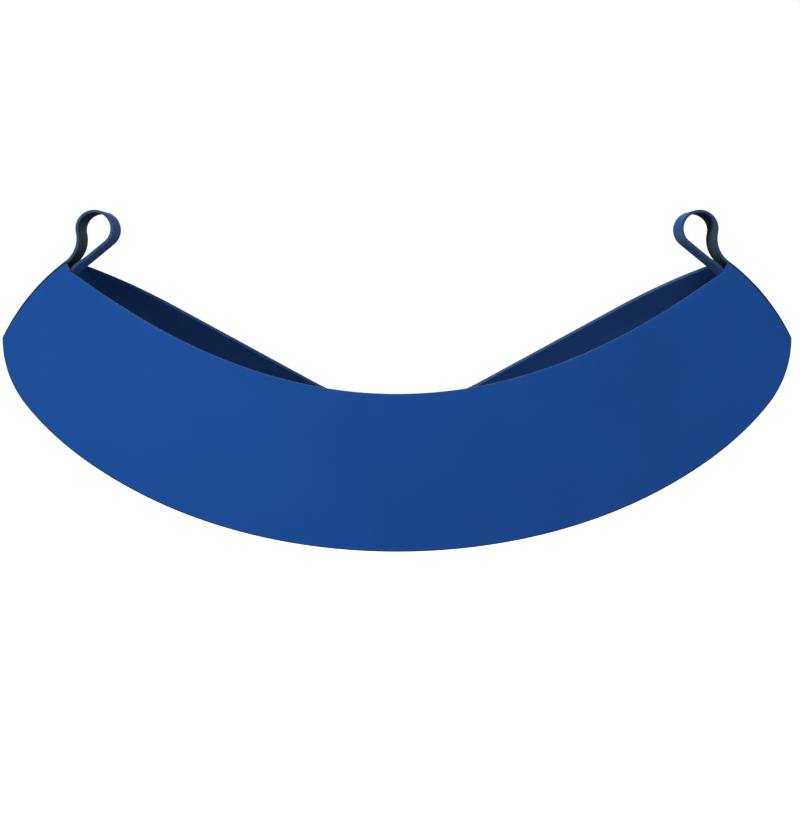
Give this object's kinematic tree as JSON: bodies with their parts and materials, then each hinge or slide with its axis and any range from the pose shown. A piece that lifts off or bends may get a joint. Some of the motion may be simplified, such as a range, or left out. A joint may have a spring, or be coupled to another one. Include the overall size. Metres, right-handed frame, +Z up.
{
  "type": "kayak spray skirt",
  "caption": "Flared two-panel waist skirt of thin laminated foam sheet, open above and below, with a teardrop strap loop standing at the top of each side seam",
  "frame": {"origin": "the middle of the waist mouth: midway between the two top corners of the front panel, at their height, on the plane that the outer face of the front panel touches at its side seams", "axes": "X runs from the left side seam to the right one, Y runs from the front panel to the back panel, Z is up; the front faces -Y"},
  "size_m": [0.5856, 0.1827, 0.2514],
  "materials": {
    "blueJersey": "fine matt knitted jersey, royal blue",
    "blueFoam": "closed-cell foam seen only as the cut edge, royal blue",
    "charcoalJersey": "fine knitted jersey lining, charcoal",
    "seamTape": "thin bonded stretch tape, near black"
  },
  "bodies": {
    "front": {"frontFace": "blueJersey", "frontCore": "blueFoam", "frontLining": "charcoalJersey", "leftOuterTailFace": "blueJersey", "leftOuterTailCore": "blueFoam", "leftOuterTailLining": "charcoalJersey", "leftInnerTailFace": "blueJersey", "leftInnerTailCore": "blueFoam", "leftInnerTailLining": "charcoalJersey", "leftSeamTape": "seamTape", "rightOuterTailFace": "blueJersey", "rightOuterTailCore": "blueFoam", "rightOuterTailLining": "charcoalJersey", "rightInnerTailFace": "blueJersey", "rightInnerTailCore": "blueFoam", "rightInnerTailLining": "charcoalJersey", "rightSeamTape": "seamTape"},
    "back": {"backFace": "blueJersey", "backCore": "blueFoam", "backLining": "charcoalJersey"},
    "leftLoop": {"leftLoopFace": "blueJersey", "leftLoopCore": "blueFoam", "leftLoopLining": "charcoalJersey"},
    "rightLoop": {"rightLoopFace": "blueJersey", "rightLoopCore": "blueFoam", "rightLoopLining": "charcoalJersey"}
  },
  "joints": [
    {"name": "back_swing", "type": "hinge", "parent": "front", "child": "back", "pos_m": [0, 0.02475, -0.003], "axis": [1, 0, 0], "range_deg": [-5, 18]},
    {"name": "left_loop_fold", "type": "hinge", "parent": "front", "child": "leftLoop", "pos_m": [-0.2438, 0.01315, -0.003], "axis": [0, 1, 0], "range_deg": [-25, 25]},
    {"name": "right_loop_fold", "type": "hinge", "parent": "front", "child": "rightLoop", "pos_m": [0.2438, 0.01315, -0.003], "axis": [0, -1, 0], "range_deg": [-25, 25]}
  ]
}
